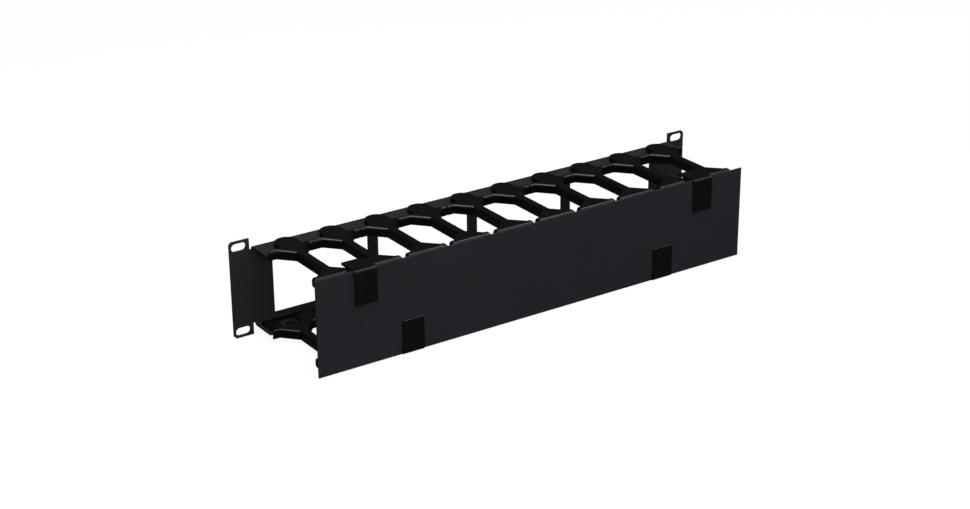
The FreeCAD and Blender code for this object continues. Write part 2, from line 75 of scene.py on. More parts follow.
# Faces that lie this flat to one another become one face.
FLAT_ANGLE = math.radians(0.6)
# Edges are rounded or kept sharp from this angle on.
SHARP_ANGLE = math.radians(30)
# Share of its normal from which a face is turned to a direction.
FACING = 0.9
# Share of its normal along the floor up to which a face is level.
LEVEL = 0.05
# Noise values that give the darkest and the lightest shade of a grain.
GRAIN_LOW, GRAIN_HIGH = 0.3, 0.7

Colour = tuple[float, float, float]
Place = tuple[float, float, float]

ORIGIN: Place = (0.0, 0.0, 0.0)
UNCHANGED: Place = (1.0, 1.0, 1.0)
WHITE = (1.0, 1.0, 1.0, 1.0)


def linear(level: float) -> float:
    """Turn one display level, from 0 to 255, into a linear value."""
    share = level / 255
    return share / 12.92 if share <= 0.04045 else ((share + 0.055) / 1.055) ** 2.4


def display_colour(red: float, green: float, blue: float) -> Colour:
    """Turn display levels, from 0 to 255, into a linear colour."""
    return linear(red), linear(green), linear(blue)


# Shader graphs.


class Graph:
    """A node tree with short calls for adding and linking nodes."""

    def __init__(self, tree: bpy.types.NodeTree) -> None:
        """Keep the tree that the calls add to."""
        self.tree = tree

    def add(self, kind: str, **settings: object) -> bpy.types.Node:
        """Add a node and set its properties.

        Args:
            kind: Blender's name of the node type.
            settings: Property values, by property name.

        Returns:
            The new node.
        """
        node = self.tree.nodes.new(kind)
        for name, value in settings.items():
            setattr(node, name, value)
        return node

    def link(self, source: bpy.types.NodeSocket, target: bpy.types.NodeSocket) -> None:
        """Join two sockets."""
        self.tree.links.new(source, target)

    def arithmetic(self, operation: str, left: object, right: object) -> bpy.types.NodeSocket:
        """Add a Math node.

        Args:
            operation: The operation's name, such as ADD.
            left: First operand, a socket or a number.
            right: Second operand, a socket or a number.

        Returns:
            The node's output.
        """
        node = self.add("ShaderNodeMath", operation=operation)
        for socket, operand in zip(node.inputs, (left, right)):
            if isinstance(operand, bpy.types.NodeSocket):
                self.link(operand, socket)
            else:
                socket.default_value = operand
        return node.outputs[0]


class SurfaceGroup(Enum):
    """The shader groups that several finishes share."""

    GRAIN = "surface_grain"


def grain_group() -> bpy.types.NodeTree:
    """Build the grain that powder coat and spark-eroded plastic share.

    Returns:
        A group that puts out a shade, a roughness and a height, all varying over the surface.
    """
    made = bpy.data.node_groups.get(SurfaceGroup.GRAIN.value)
    if made:
        return made
    group = bpy.data.node_groups.new(SurfaceGroup.GRAIN.value, "ShaderNodeTree")
    for name, default in (("Grain Scale", 900.0), ("Cloud Scale", 30.0), ("Grain Share", 0.6),
                          ("Rough Low", 0.4), ("Rough High", 0.6)):
        socket = group.interface.new_socket(name, in_out="INPUT", socket_type="NodeSocketFloat")
        socket.default_value = default
    for name in ("Shade", "Roughness", "Height"):
        group.interface.new_socket(name, in_out="OUTPUT", socket_type="NodeSocketFloat")
    graph = Graph(group)
    given = graph.add("NodeGroupInput").outputs
    result = graph.add("NodeGroupOutput").inputs
    place = graph.add("ShaderNodeTexCoord").outputs["Object"]

    noise = {}
    for scale, detail in (("Grain Scale", 2.0), ("Cloud Scale", 3.0)):
        texture = graph.add("ShaderNodeTexNoise")
        texture.inputs["Detail"].default_value = detail
        graph.link(place, texture.inputs["Vector"])
        graph.link(given[scale], texture.inputs["Scale"])
        noise[scale] = texture.outputs["Fac"]
    fine = graph.arithmetic("MULTIPLY", noise["Grain Scale"], given["Grain Share"])
    rest = graph.arithmetic("SUBTRACT", 1.0, given["Grain Share"])
    broad = graph.arithmetic("MULTIPLY", noise["Cloud Scale"], rest)
    shade = graph.arithmetic("ADD", fine, broad)
    graph.link(shade, result["Shade"])

    rough = graph.add("ShaderNodeMapRange")
    rough.inputs["From Min"].default_value = GRAIN_LOW
    rough.inputs["From Max"].default_value = GRAIN_HIGH
    graph.link(shade, rough.inputs["Value"])
    graph.link(given["Rough Low"], rough.inputs["To Min"])
    graph.link(given["Rough High"], rough.inputs["To Max"])
    graph.link(rough.outputs["Result"], result["Roughness"])
    graph.link(noise["Grain Scale"], result["Height"])
    return group


@dataclass(frozen=True)
class Finish:
    """A coated or moulded surface with a fine grain.

    Attributes:
        name: The material's name.
        slot: The record's material slot; not used.
        dark: Base colour in the grain's hollows.
        light: Base colour on the grain's tops.
        roughness: Lowest and highest roughness.
        gloss: Specular level of the shader.
        grain_scale: Grains a metre.
        cloud_scale: Broad patches a metre.
        grain_share: Share of the fine grain in the shade, from 0 to 1.
        relief: Height of the grain in metres.
    """

    name: str
    slot: str
    dark: Colour
    light: Colour
    roughness: tuple[float, float]
    gloss: float
    grain_scale: float
    cloud_scale: float
    grain_share: float
    relief: float

    def material(self) -> bpy.types.Material:
        """Build the material once and give it again after that.

        Returns:
            The material.
        """
        made = bpy.data.materials.get(self.name)
        if made:
            return made
        material = bpy.data.materials.new(self.name)
        material.use_nodes = True
        graph = Graph(material.node_tree)
        shader = material.node_tree.nodes["Principled BSDF"]
        shader.inputs["Specular IOR Level"].default_value = self.gloss
        grain = graph.add("ShaderNodeGroup", node_tree=grain_group())
        for name, value in (("Grain Scale", self.grain_scale), ("Cloud Scale", self.cloud_scale),
                            ("Grain Share", self.grain_share), ("Rough Low", self.roughness[0]),
                            ("Rough High", self.roughness[1])):
            grain.inputs[name].default_value = value

        ramp = graph.add("ShaderNodeValToRGB")
        low, high = ramp.color_ramp.elements
        low.position, high.position = GRAIN_LOW, GRAIN_HIGH
        low.color = (*self.dark, 1.0)
        high.color = (*self.light, 1.0)
        graph.link(grain.outputs["Shade"], ramp.inputs["Fac"])
        graph.link(ramp.outputs["Color"], shader.inputs["Base Color"])
        graph.link(grain.outputs["Roughness"], shader.inputs["Roughness"])

        bump = graph.add("ShaderNodeBump")
        bump.inputs["Strength"].default_value = 1.0
        bump.inputs["Distance"].default_value = self.relief
        graph.link(grain.outputs["Height"], bump.inputs["Height"])
        graph.link(bump.outputs["Normal"], shader.inputs["Normal"])
        return material


class Finishes(Enum):
    """The finishes of this object's pieces."""

    CHASSIS = Finish("chassis_powder_coat", "chassis_steel",
                     dark=display_colour(28, 29, 33), light=display_colour(36, 37, 41),
                     roughness=(0.46, 0.56), gloss=0.2,
                     grain_scale=1100.0, cloud_scale=16.0, grain_share=0.7, relief=0.04 * MM)
    COVER = Finish("cover_powder_coat", "cover_steel",
                   dark=display_colour(29, 30, 34), light=display_colour(37, 38, 42),
                   roughness=(0.38, 0.46), gloss=0.27,
                   grain_scale=1100.0, cloud_scale=16.0, grain_share=0.7, relief=0.04 * MM)
    FINGER = Finish("finger_moulding", "finger_plastic",
                    dark=display_colour(3, 3, 3), light=display_colour(8, 8, 8),
                    roughness=(0.27, 0.34), gloss=0.27,
                    grain_scale=1500.0, cloud_scale=40.0, grain_share=0.75, relief=0.02 * MM)
    CLIP = Finish("clip_moulding", "clip_plastic",
                  dark=display_colour(5, 5, 5), light=display_colour(10, 10, 10),
                  roughness=(0.27, 0.34), gloss=0.26,
                  grain_scale=1500.0, cloud_scale=60.0, grain_share=0.75, relief=0.02 * MM)
    PIN = Finish("pin_moulding", "pin_plastic",
                 dark=display_colour(6, 6, 6), light=display_colour(12, 12, 12),
                 roughness=(0.25, 0.32), gloss=0.3,
                 grain_scale=2000.0, cloud_scale=80.0, grain_share=0.6, relief=0.01 * MM)


# Mesh helpers.


class Step(Enum):
    """The two ways to combine a piece with another one."""

    JOIN = "UNION"
    CUT = "DIFFERENCE"


def deselect_all() -> None:
    """Leave nothing selected, so that an operator acts only on what is chosen next."""
    bpy.ops.object.select_all(action="DESELECT")


def choose(piece: bpy.types.Object) -> None:
    """Make a piece the only selected object, and the active one.

    Args:
        piece: The piece.
    """
    deselect_all()
    piece.select_set(True)
    bpy.context.view_layer.objects.active = piece


def soften_edges(piece: bpy.types.Object, width: float, segments: int = 2) -> None:
    """Round the sharp edges a little, so that they catch the light.

    Args:
        piece: The piece.
        width: Width of the rounding in metres.
        segments: Strips across the rounding.
    """
    choose(piece)
    bpy.ops.object.shade_smooth_by_angle(angle=SHARP_ANGLE)
    bevel = piece.modifiers.new("softened_edges", "BEVEL")
    bevel.width = width
    bevel.segments = segments
    bevel.limit_method = "ANGLE"
    bevel.angle_limit = SHARP_ANGLE
    bevel.use_clamp_overlap = False
    bevel.harden_normals = True
    bpy.ops.object.modifier_apply(modifier=bevel.name)


def snap_levels(piece: bpy.types.Object, axis: int, *levels: float) -> None:
    """Put the corners that lie at these levels there exactly, so that faces meet without slivers.

    Args:
        piece: The piece.
        axis: 0 for X, 1 for Y and 2 for Z.
        levels: The levels in metres.
    """
    for corner in piece.data.vertices:
        for level in levels:
            if abs(corner.co[axis] - level) < SNAP:
                corner.co[axis] = level


def add_block(name: str, low: Place, high: Place) -> bpy.types.Object:
    """Add a block between two corners.

    Args:
        name: The piece's name.
        low: Its lowest corner in metres.
        high: Its highest corner in metres.

    Returns:
        The block, with its place in its mesh.
    """
    deselect_all()
    low_corner, high_corner = Vector(low), Vector(high)
    bpy.ops.mesh.primitive_cube_add(size=1.0)
    piece = bpy.context.active_object
    piece.name = piece.data.name = name
    piece.location = (low_corner + high_corner) / 2
    piece.scale = high_corner - low_corner
    bpy.ops.object.transform_apply(location=True, rotation=True, scale=True)
    for axis in range(3):
        snap_levels(piece, axis, low[axis], high[axis])
    return piece


@contextmanager
def shaping(piece: bpy.types.Object) -> Iterator[None]:
    """Open a piece in edit mode, with nothing selected, and close it after the last step.

    Args:
        piece: The piece.
    """
    choose(piece)
    bpy.ops.object.mode_set(mode="EDIT")
    bpy.ops.mesh.select_mode(type="FACE")
    bpy.ops.mesh.select_all(action="DESELECT")
    yield
    bpy.ops.object.mode_set(mode="OBJECT")


def pick_faces(piece: bpy.types.Object, wanted: Callable[[Vector, Vector], bool]) -> None:
    """Select the faces of a piece in edit mode by their middle and normal.

    Args:
        piece: The piece.
        wanted: Tells from a face's middle and normal whether it is selected.
    """
    bpy.ops.mesh.select_all(action="DESELECT")
    mesh = bmesh.from_edit_mesh(piece.data)
    for face in mesh.faces:
        if wanted(face.calc_center_median(), face.normal):
            face.select_set(True)
    bmesh.update_edit_mesh(piece.data)


def slice_all(point: Place, normal: Place, clear_outer: bool = False) -> None:
    """Slice the whole piece in edit mode with a plane.

    Args:
        point: A point on the plane, in metres.
        normal: The plane's normal.
        clear_outer: Whether the side that the normal points to is cleared and the cut is closed.
    """
    bpy.ops.mesh.select_all(action="SELECT")
    bpy.ops.mesh.bisect(plane_co=point, plane_no=normal, use_fill=clear_outer, clear_outer=clear_outer)


def push_faces(shift: Place, middle: Place = ORIGIN, widen: Place = UNCHANGED) -> None:
    """Extrude the selected faces, and then widen them about a point.

    Args:
        shift: How far they move, in metres.
        middle: The point that they are widened about.
        widen: How much they are widened along X, Y and Z.
    """
    bpy.ops.mesh.extrude_region_move(TRANSFORM_OT_translate={"value": shift})
    if widen != UNCHANGED:
        bpy.ops.transform.resize(value=widen, center_override=middle)


def combine(piece: bpy.types.Object, tool: bpy.types.Object, step: Step) -> None:
    """Join another piece to this one, or cut it away, and use it up.

    Args:
        piece: The piece that stays.
        tool: The piece that is joined or cut away.
        step: Whether it is joined or cut away.
    """
    choose(piece)
    boolean = piece.modifiers.new("combined", "BOOLEAN")
    boolean.object = tool
    boolean.operation = step.value
    boolean.solver = "EXACT"
    bpy.ops.object.modifier_apply(modifier=boolean.name)
    choose(tool)
    bpy.ops.object.delete()


def clear_flat_edges(piece: bpy.types.Object) -> None:
    """Weld a piece's loose corners and dissolve the edges that lie inside flat faces.

    Args:
        piece: The piece.
    """
    with shaping(piece):
        bpy.ops.mesh.select_all(action="SELECT")
        bpy.ops.mesh.remove_doubles(threshold=WELD)
        bpy.ops.mesh.dissolve_limited(angle_limit=FLAT_ANGLE)
        bpy.ops.mesh.select_all(action="DESELECT")


def merged_copy(node: str, name: str) -> bpy.types.Object:
    """Copy a node's mesh into a new piece and weld its loose triangles into flat faces.

    Args:
        node: The node's name.
        name: The new piece's name.

    Returns:
        The new piece.
    """
    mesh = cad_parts[node].data.copy()
    mesh.name = name
    mesh.materials.clear()
    piece = bpy.data.objects.new(name, mesh)
    bpy.context.scene.collection.objects.link(piece)
    with shaping(piece):
        bpy.ops.mesh.select_all(action="SELECT")
        bpy.ops.mesh.customdata_custom_splitnormals_clear()
    clear_flat_edges(piece)
    return piece


def cut_rear_corners(middle: float, half_width: float, back: float, corner: float) -> None:
    """Cut both rear corners off the piece in edit mode.

    Args:
        middle: The piece's middle along X, in metres.
        half_width: Half the piece's width.
        back: Depth of its rear edge.
        corner: Length that is cut off each edge.
    """
    for side in (-1, 1):
        slice_all((middle + side * (half_width - corner / 2), -back - corner / 2, 0.0),
                  (side, 1.0, 0.0), clear_outer=True)


def round_edges(piece: bpy.types.Object, radius: Callable[[Vector, Vector], float],
                segments: int) -> None:
    """Round each edge with its own radius, with crisp mitres where two roundings meet.

    Args:
        piece: The piece.
        radius: Tells the radius in metres from an edge's two ends, 0 for none.
        segments: Strips across each rounding.
    """
    mesh = piece.data
    radii = [radius(*(mesh.vertices[corner].co for corner in edge.vertices)) for edge in mesh.edges]
    widest = max(radii)
    weights = mesh.attributes.new("bevel_weight_edge", "FLOAT", "EDGE")
    for edge, wanted in zip(mesh.edges, radii):
        weights.data[edge.index].value = wanted / widest
    choose(piece)
    bevel = piece.modifiers.new("rounded_edges", "BEVEL")
    bevel.width = widest
    bevel.segments = segments
    bevel.limit_method = "WEIGHT"
    bevel.use_clamp_overlap = False
    bpy.ops.object.modifier_apply(modifier=bevel.name)
    piece.data.attributes.remove(piece.data.attributes["bevel_weight_edge"])


def shade_roundings(piece: bpy.types.Object) -> None:
    """Shade the roundings smooth, the flat faces flat and the mitres crisp.

    Args:
        piece: The piece, with all its edges rounded.
    """
    choose(piece)
    bpy.ops.object.shade_smooth_by_angle(angle=SHARP_ANGLE)
    mesh = bmesh.new()
    mesh.from_mesh(piece.data)
    for edge in mesh.edges:
        slopes = [face.normal.xy for face in edge.link_faces if face.normal.xy.length > LEVEL]
        if len(slopes) == 2 and slopes[0].angle(slopes[1]) > SHARP_ANGLE:
            edge.smooth = False
    mesh.to_mesh(piece.data)
    mesh.free()
    weighted = piece.modifiers.new("flat_faces_rule", "WEIGHTED_NORMAL")
    weighted.keep_sharp = True
    bpy.ops.object.modifier_apply(modifier=weighted.name)


def placed_copy(piece: bpy.types.Object, name: str, shift: Place, turned: bool) -> bpy.types.Object:
    """Copy a piece with a mesh of its own and put it in its place.

    Args:
        piece: The piece that is copied.
        name: The copy's name.
        shift: How far the copy moves, in metres.
        turned: Whether it is first turned half round about Y.

    Returns:
        The copy, with its place in its mesh.
    """
    choose(piece)
    bpy.ops.object.duplicate(linked=False)
    copy = bpy.context.active_object
    copy.name = copy.data.name = name
    copy.rotation_euler = (0.0, math.pi if turned else 0.0, 0.0)
    copy.location = shift
    bpy.ops.object.transform_apply(location=True, rotation=True, scale=True)
    return copy


def finish_piece(piece: bpy.types.Object, finish: Finish, body: str, node: str) -> None:
    """Dress a piece, let it stand for its node and ride on the node's body.

    Args:
        piece: The piece.
        finish: Its finish.
        body: The body that it moves with.
        node: The node that it stands for.
    """
    piece.data.materials.clear()
    piece.data.materials.append(finish.material())
    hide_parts(node)
    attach(piece, body)
    LOG.info("%s: %d faces on %s", piece.name, len(piece.data.polygons), body)


# The pieces.


class Row(Enum):
    """The rows of fingers and clips."""

    TOP = "top"
    BOTTOM = "bottom"


@dataclass
class SheetMetal:
    """The two steel pieces: the folded channel and the flat cover.

    Attributes:
        chassis_edge: Rounding that the coat leaves on the channel's cut edges.
        cover_edge: Rounding of the cover's cut edges.
    """

    chassis_edge: float = 0.2 * MM
    cover_edge: float = 0.5 * MM

    def build(self) -> None:
        """Copy both nodes, soften their edges and coat them."""
        for node, body, radius, finish in (
                ("chassis", "root", self.chassis_edge, Finishes.CHASSIS.value),
                ("cover", "cover", self.cover_edge, Finishes.COVER.value)):
            piece = merged_copy(node, node + "_sheet")
            soften_edges(piece, radius)
            finish_piece(piece, finish, body, node)


@dataclass
class FingerRows:
    """Both rows of moulded double fingers.

    One module is modelled on the middle of the top flange and copied along both flanges. Levels are
    measured up from the middle of the rack space, and depths forwards from the mounting face.

    Attributes:
        modules: Modules along one flange.
        pitch: Distance from one module's middle to the next one's.
        half_length: Half the module's length.
        finger_offset: Distance of each finger from the module's middle.
        inner_level: Level of the faces turned to the channel's inside.
        outer_level: Level of the faces turned outwards.
        bar_back: Depth of the back of the bar in front of the flange.
        bar_front: Depth of the bar's front.
        bar_root: Depth from which the bar is modelled before its back is sliced off.
        shoulder_half_width: Half the finger's width where it leaves the bar.
        arm_back: Depth at which the shoulders have narrowed to the arm.
        arm_half_width: Half the arm's width.
        arm_front: Depth at which the arm begins to widen to the head.
        flare_half_width: Half the widened arm's width at the head.
        head_back: Depth of the back of the head.
        head_front: Depth of the head's front.
        head_half_width: Half the head's width.
        outer_fillet: Rounding along the bar, the arms and the heads at the outer level.
        inner_fillet: The same at the inner level.
        corner_round: Rounding of the heads' and the bar's upright corners.
        round_strips: Strips across each rounding.
        pad_level: Level of the pads' faces on the flange.
        pad_radius: Radius of the pads' round ends, and half their width.
        pad_centre: Depth of the middle of the pads' round ends.
        pad_corners: Corners round a pad.
        pad_rim: Rounding of the pads' rims.
        plate_level: Level of the plate's face under the flange.
        plate_back: Depth of the plate's rear edge.
        plate_corner: Length cut off the plate's rear corners.
        bed_sink: Depth of the beds in the plate.
        bed_half_width: Half the beds' width at their floor.
        brim_half_width: Half the beds' width at their brim.
        bed_back: Depth of the beds' rear ends.
        bed_front: Depth of the beds' front ends.
        slot_half_width: Half the width of the slot round each latch tongue.
        tongue_half_width: Half the tongue's width.
        tongue_sink: How far the tongue's inner face lies behind the plate's.
        tongue_root: Depth of the tongue's root.
        tongue_back: Depth of the tongue's free end.
        slot_back: Depth of the slot's rear end.
        slot_corner: Length cut off the slot's rear corners.
        nub_half_width: Half the width of the latch nub on each tongue.
        nub_half_depth: Half the nub's depth.
        nub_centre: Depth of the nub's middle.
        nub_rise: How far the nub stands up, and how far it reaches down through the tongue.
    """

    modules: int = 5
    pitch: float = 87.5 * MM
    half_length: float = 43.25 * MM
    finger_offset: float = 21.6 * MM
    inner_level: float = 31.2 * MM
    outer_level: float = 40.5 * MM
    bar_back: float = 26.8 * MM
    bar_front: float = 29.2 * MM
    bar_root: float = 24.0 * MM
    shoulder_half_width: float = 16.2 * MM
    arm_back: float = 42.2 * MM
    arm_half_width: float = 4.6 * MM
    arm_front: float = 83.0 * MM
    flare_half_width: float = 15.2 * MM
    head_back: float = 93.8 * MM
    head_front: float = 100.3 * MM
    head_half_width: float = 19.45 * MM
    outer_fillet: float = 3.0 * MM
    inner_fillet: float = 2.1 * MM
    corner_round: float = 0.9 * MM
    round_strips: int = 5
    pad_level: float = 36.4 * MM
    pad_radius: float = 10.3 * MM
    pad_centre: float = 17.8 * MM
    pad_corners: int = 96
    pad_rim: float = 0.9 * MM
    plate_level: float = 34.2 * MM
    plate_back: float = 7.0 * MM
    plate_corner: float = 1.0 * MM
    bed_sink: float = 1.2 * MM
    bed_half_width: float = 12.5 * MM
    brim_half_width: float = 18.0 * MM
    bed_back: float = 8.2 * MM
    bed_front: float = 25.6 * MM
    slot_half_width: float = 8.4 * MM
    tongue_half_width: float = 4.0 * MM
    tongue_sink: float = 2.1 * MM
    tongue_root: float = 24.8 * MM
    tongue_back: float = 16.4 * MM
    slot_back: float = 8.8 * MM
    slot_corner: float = 3.6 * MM
    nub_half_width: float = 2.6 * MM
    nub_half_depth: float = 1.8 * MM
    nub_centre: float = 18.2 * MM
    nub_rise: float = 1.4 * MM

    def build(self) -> None:
        """Model one module, copy it along both flanges and give the copies their plastic."""
        master = self.module()
        for row in Row:
            for number in range(self.modules):
                shift = (number - (self.modules - 1) / 2) * self.pitch
                piece = placed_copy(master, f"{row.value}_fingers_{number + 1}", (shift, 0.0, 0.0),
                                    row is Row.BOTTOM)
                finish_piece(piece, Finishes.FINGER.value, "root",
                             f"{row.value}_finger_module_{number + 1}")
        choose(master)
        bpy.ops.object.delete()

    def middles(self) -> tuple[float, float]:
        """Give the place of both fingers along X."""
        return -self.finger_offset, self.finger_offset

    def bar_middle(self) -> float:
        """Give the depth of the bar's middle, where the pads and the plate end."""
        return (self.bar_back + self.bar_front) / 2

    def module(self) -> bpy.types.Object:
        """Model one module with its two fingers.

        Returns:
            The module, in the middle of the top flange.
        """
        module = self.comb()
        for middle in self.middles():
            combine(module, self.pad(middle), Step.JOIN)
        combine(module, self.plate(), Step.JOIN)
        clear_flat_edges(module)
        round_edges(module, self.rim_radius, self.round_strips)
        shade_roundings(module)
        return module

    def comb(self) -> bpy.types.Object:
        """Model the bar with its two fingers and round their edges.

        Returns:
            The bar and fingers.
        """
        comb = add_block("comb", (-self.half_length, -self.bar_front, self.inner_level),
                         (self.half_length, -self.bar_root, self.outer_level))
        with shaping(comb):
            for middle in self.middles():
                for side in (-1, 1):
                    slice_all((middle + side * self.shoulder_half_width, 0.0, 0.0), (1.0, 0.0, 0.0))
            for middle in self.middles():
                self.draw_finger(comb, middle)
                for side in (-1, 1):
                    self.widen_head(comb, middle, side)
        clear_flat_edges(comb)
        round_edges(comb, self.edge_radius, self.round_strips)
        with shaping(comb):
            slice_all((0.0, -self.bar_back, 0.0), (0.0, 1.0, 0.0), clear_outer=True)
        snap_levels(comb, 1, -self.bar_back)
        return comb

    def draw_finger(self, comb: bpy.types.Object, middle: float) -> None:
        """Draw shoulders, arm and head out of the bar's front, in edit mode.

        Args:
            comb: The bar, sliced beside the shoulders.
            middle: The finger's place along X.
        """
        pick_faces(comb, lambda place, normal: normal.y < -FACING
                   and abs(place.y + self.bar_front) < NEAR
                   and abs(place.x - middle) < self.shoulder_half_width)
        about = (middle, 0.0, 0.0)
        push_faces((0.0, self.bar_front - self.arm_back, 0.0), about,
                   (self.arm_half_width / self.shoulder_half_width, 1.0, 1.0))
        push_faces((0.0, self.arm_back - self.arm_front, 0.0))
        push_faces((0.0, self.arm_front - self.head_back, 0.0), about,
                   (self.flare_half_width / self.arm_half_width, 1.0, 1.0))
        push_faces((0.0, self.head_back - self.head_front, 0.0))

    def widen_head(self, comb: bpy.types.Object, middle: float, side: int) -> None:
        """Draw one end of a head outwards, in edit mode.

        Args:
            comb: The bar with the finger.
            middle: The finger's place along X.
            side: -1 for the left end and 1 for the right end.
        """
        pick_faces(comb, lambda place, normal: normal.x * side > FACING
                   and place.y < -self.head_back
                   and abs(place.x - middle - side * self.flare_half_width) < NEAR)
        push_faces((side * (self.head_half_width - self.flare_half_width), 0.0, 0.0))

    def pad(self, middle: float) -> bpy.types.Object:
        """Model one pad on the flange, reaching into the bar.

        Args:
            middle: The pad's place along X.

        Returns:
            The pad.
        """
        deselect_all()
        bpy.ops.mesh.primitive_cylinder_add(vertices=self.pad_corners, radius=self.pad_radius,
                                            depth=self.outer_level - self.pad_level)
        pad = bpy.context.active_object
        pad.location = (middle, -self.pad_centre, (self.outer_level + self.pad_level) / 2)
        bpy.ops.object.transform_apply(location=True, rotation=True, scale=True)
        with shaping(pad):
            slice_all((0.0, -self.pad_centre, 0.0), (0.0, -1.0, 0.0), clear_outer=True)
            pick_faces(pad, lambda place, normal: normal.y < -FACING
                       and abs(place.y + self.pad_centre) < NEAR)
            push_faces((0.0, self.pad_centre - self.bar_middle(), 0.0))
        clear_flat_edges(pad)
        snap_levels(pad, 2, self.pad_level, self.outer_level)
        return pad

    def plate(self) -> bpy.types.Object:
        """Model the plate under the flange, with a bed and a latch tongue for each finger.

        Returns:
            The plate, reaching into the bar.
        """
        plate = add_block("plate", (-self.half_length, -self.bar_middle(), self.inner_level),
                          (self.half_length, -self.plate_back, self.plate_level))
        with shaping(plate):
            cut_rear_corners(0.0, self.half_length, self.plate_back, self.plate_corner)
        for middle in self.middles():
            combine(plate, self.bed(middle), Step.CUT)
            combine(plate, self.tongue_slot(middle), Step.CUT)
            combine(plate, self.thinning(middle), Step.CUT)
            combine(plate, self.nub(middle), Step.JOIN)
        return plate

    def bed(self, middle: float) -> bpy.types.Object:
        """Model what is cut from the plate for one bed, wider at its brim than at its floor.

        Args:
            middle: The bed's place along X.

        Returns:
            The tool.
        """
        bed = add_block("bed", (middle - self.brim_half_width, -self.bed_front,
                                self.inner_level - self.bed_sink),
                        (middle + self.brim_half_width, -self.bed_back, self.inner_level))
        with shaping(bed):
            pick_faces(bed, lambda place, normal: normal.z > FACING)
            push_faces((0.0, 0.0, self.bed_sink), (middle, 0.0, 0.0),
                       (self.bed_half_width / self.brim_half_width, 1.0, 1.0))
        return bed

    def tongue_slot(self, middle: float) -> bpy.types.Object:
        """Model what is cut from the plate round one latch tongue.

        Args:
            middle: The tongue's place along X.

        Returns:
            The tool.
        """
        low, high = self.inner_level - self.bed_sink, self.plate_level + self.bed_sink
        slot = add_block("tongue_slot", (middle - self.slot_half_width, -self.tongue_root, low),
                         (middle + self.slot_half_width, -self.slot_back, high))
        with shaping(slot):
            cut_rear_corners(middle, self.slot_half_width, self.slot_back, self.slot_corner)
        tongue = add_block("tongue", (middle - self.tongue_half_width, -self.bar_front, low - OVERCUT),
                           (middle + self.tongue_half_width, -self.tongue_back, high + OVERCUT))
        combine(slot, tongue, Step.CUT)
        return slot

    def thinning(self, middle: float) -> bpy.types.Object:
        """Model what is cut from the inner face of one latch tongue.

        Args:
            middle: The tongue's place along X.

        Returns:
            The tool, which ends inside the slot.
        """
        half_width = (self.tongue_half_width + self.slot_half_width) / 2
        back = (self.tongue_back + self.slot_back) / 2
        return add_block("thinning", (middle - half_width, -self.tongue_root, self.inner_level - OVERCUT),
                         (middle + half_width, -back, self.inner_level + self.tongue_sink))

    def nub(self, middle: float) -> bpy.types.Object:
        """Model the latch nub on one tongue.

        Args:
            middle: The tongue's place along X.

        Returns:
            The nub, which reaches through the tongue.
        """
        return add_block("nub", (middle - self.nub_half_width, -self.nub_centre - self.nub_half_depth,
                                 self.plate_level - self.nub_rise),
                         (middle + self.nub_half_width, -self.nub_centre + self.nub_half_depth,
                          self.plate_level + self.nub_rise))

    def edge_radius(self, one: Vector, other: Vector) -> float:
        """Tell how round an edge of the bar and fingers is.

        Args:
            one: One end of the edge.
            other: The other end.

        Returns:
            The radius in metres.
        """
        middle = (one + other) / 2
        if middle.y > NEAR - self.bar_root:
            return 0.0
        at_end = abs(abs(middle.x) - self.half_length) < NEAR
        if abs(one.z - other.z) < NEAR:
            if at_end:
                return self.corner_round
            fillet = self.outer_fillet if middle.z > self.pad_level else self.inner_fillet
            return fillet if middle.y < NEAR - self.bar_front else 0.0
        at_head = abs(abs(abs(middle.x) - self.finger_offset) - self.head_half_width) < NEAR
        return self.corner_round if at_end or (at_head and middle.y < -self.arm_front) else 0.0

    def rim_radius(self, one: Vector, other: Vector) -> float:
        """Tell how round an edge of the pads is.

        Args:
            one: One end of the edge.
            other: The other end.

        Returns:
            The radius in metres.
        """
        on_face = all(abs(end.z - self.outer_level) < NEAR for end in (one, other))
        return self.pad_rim if on_face and (one.y + other.y) / 2 > NEAR - self.bar_back else 0.0


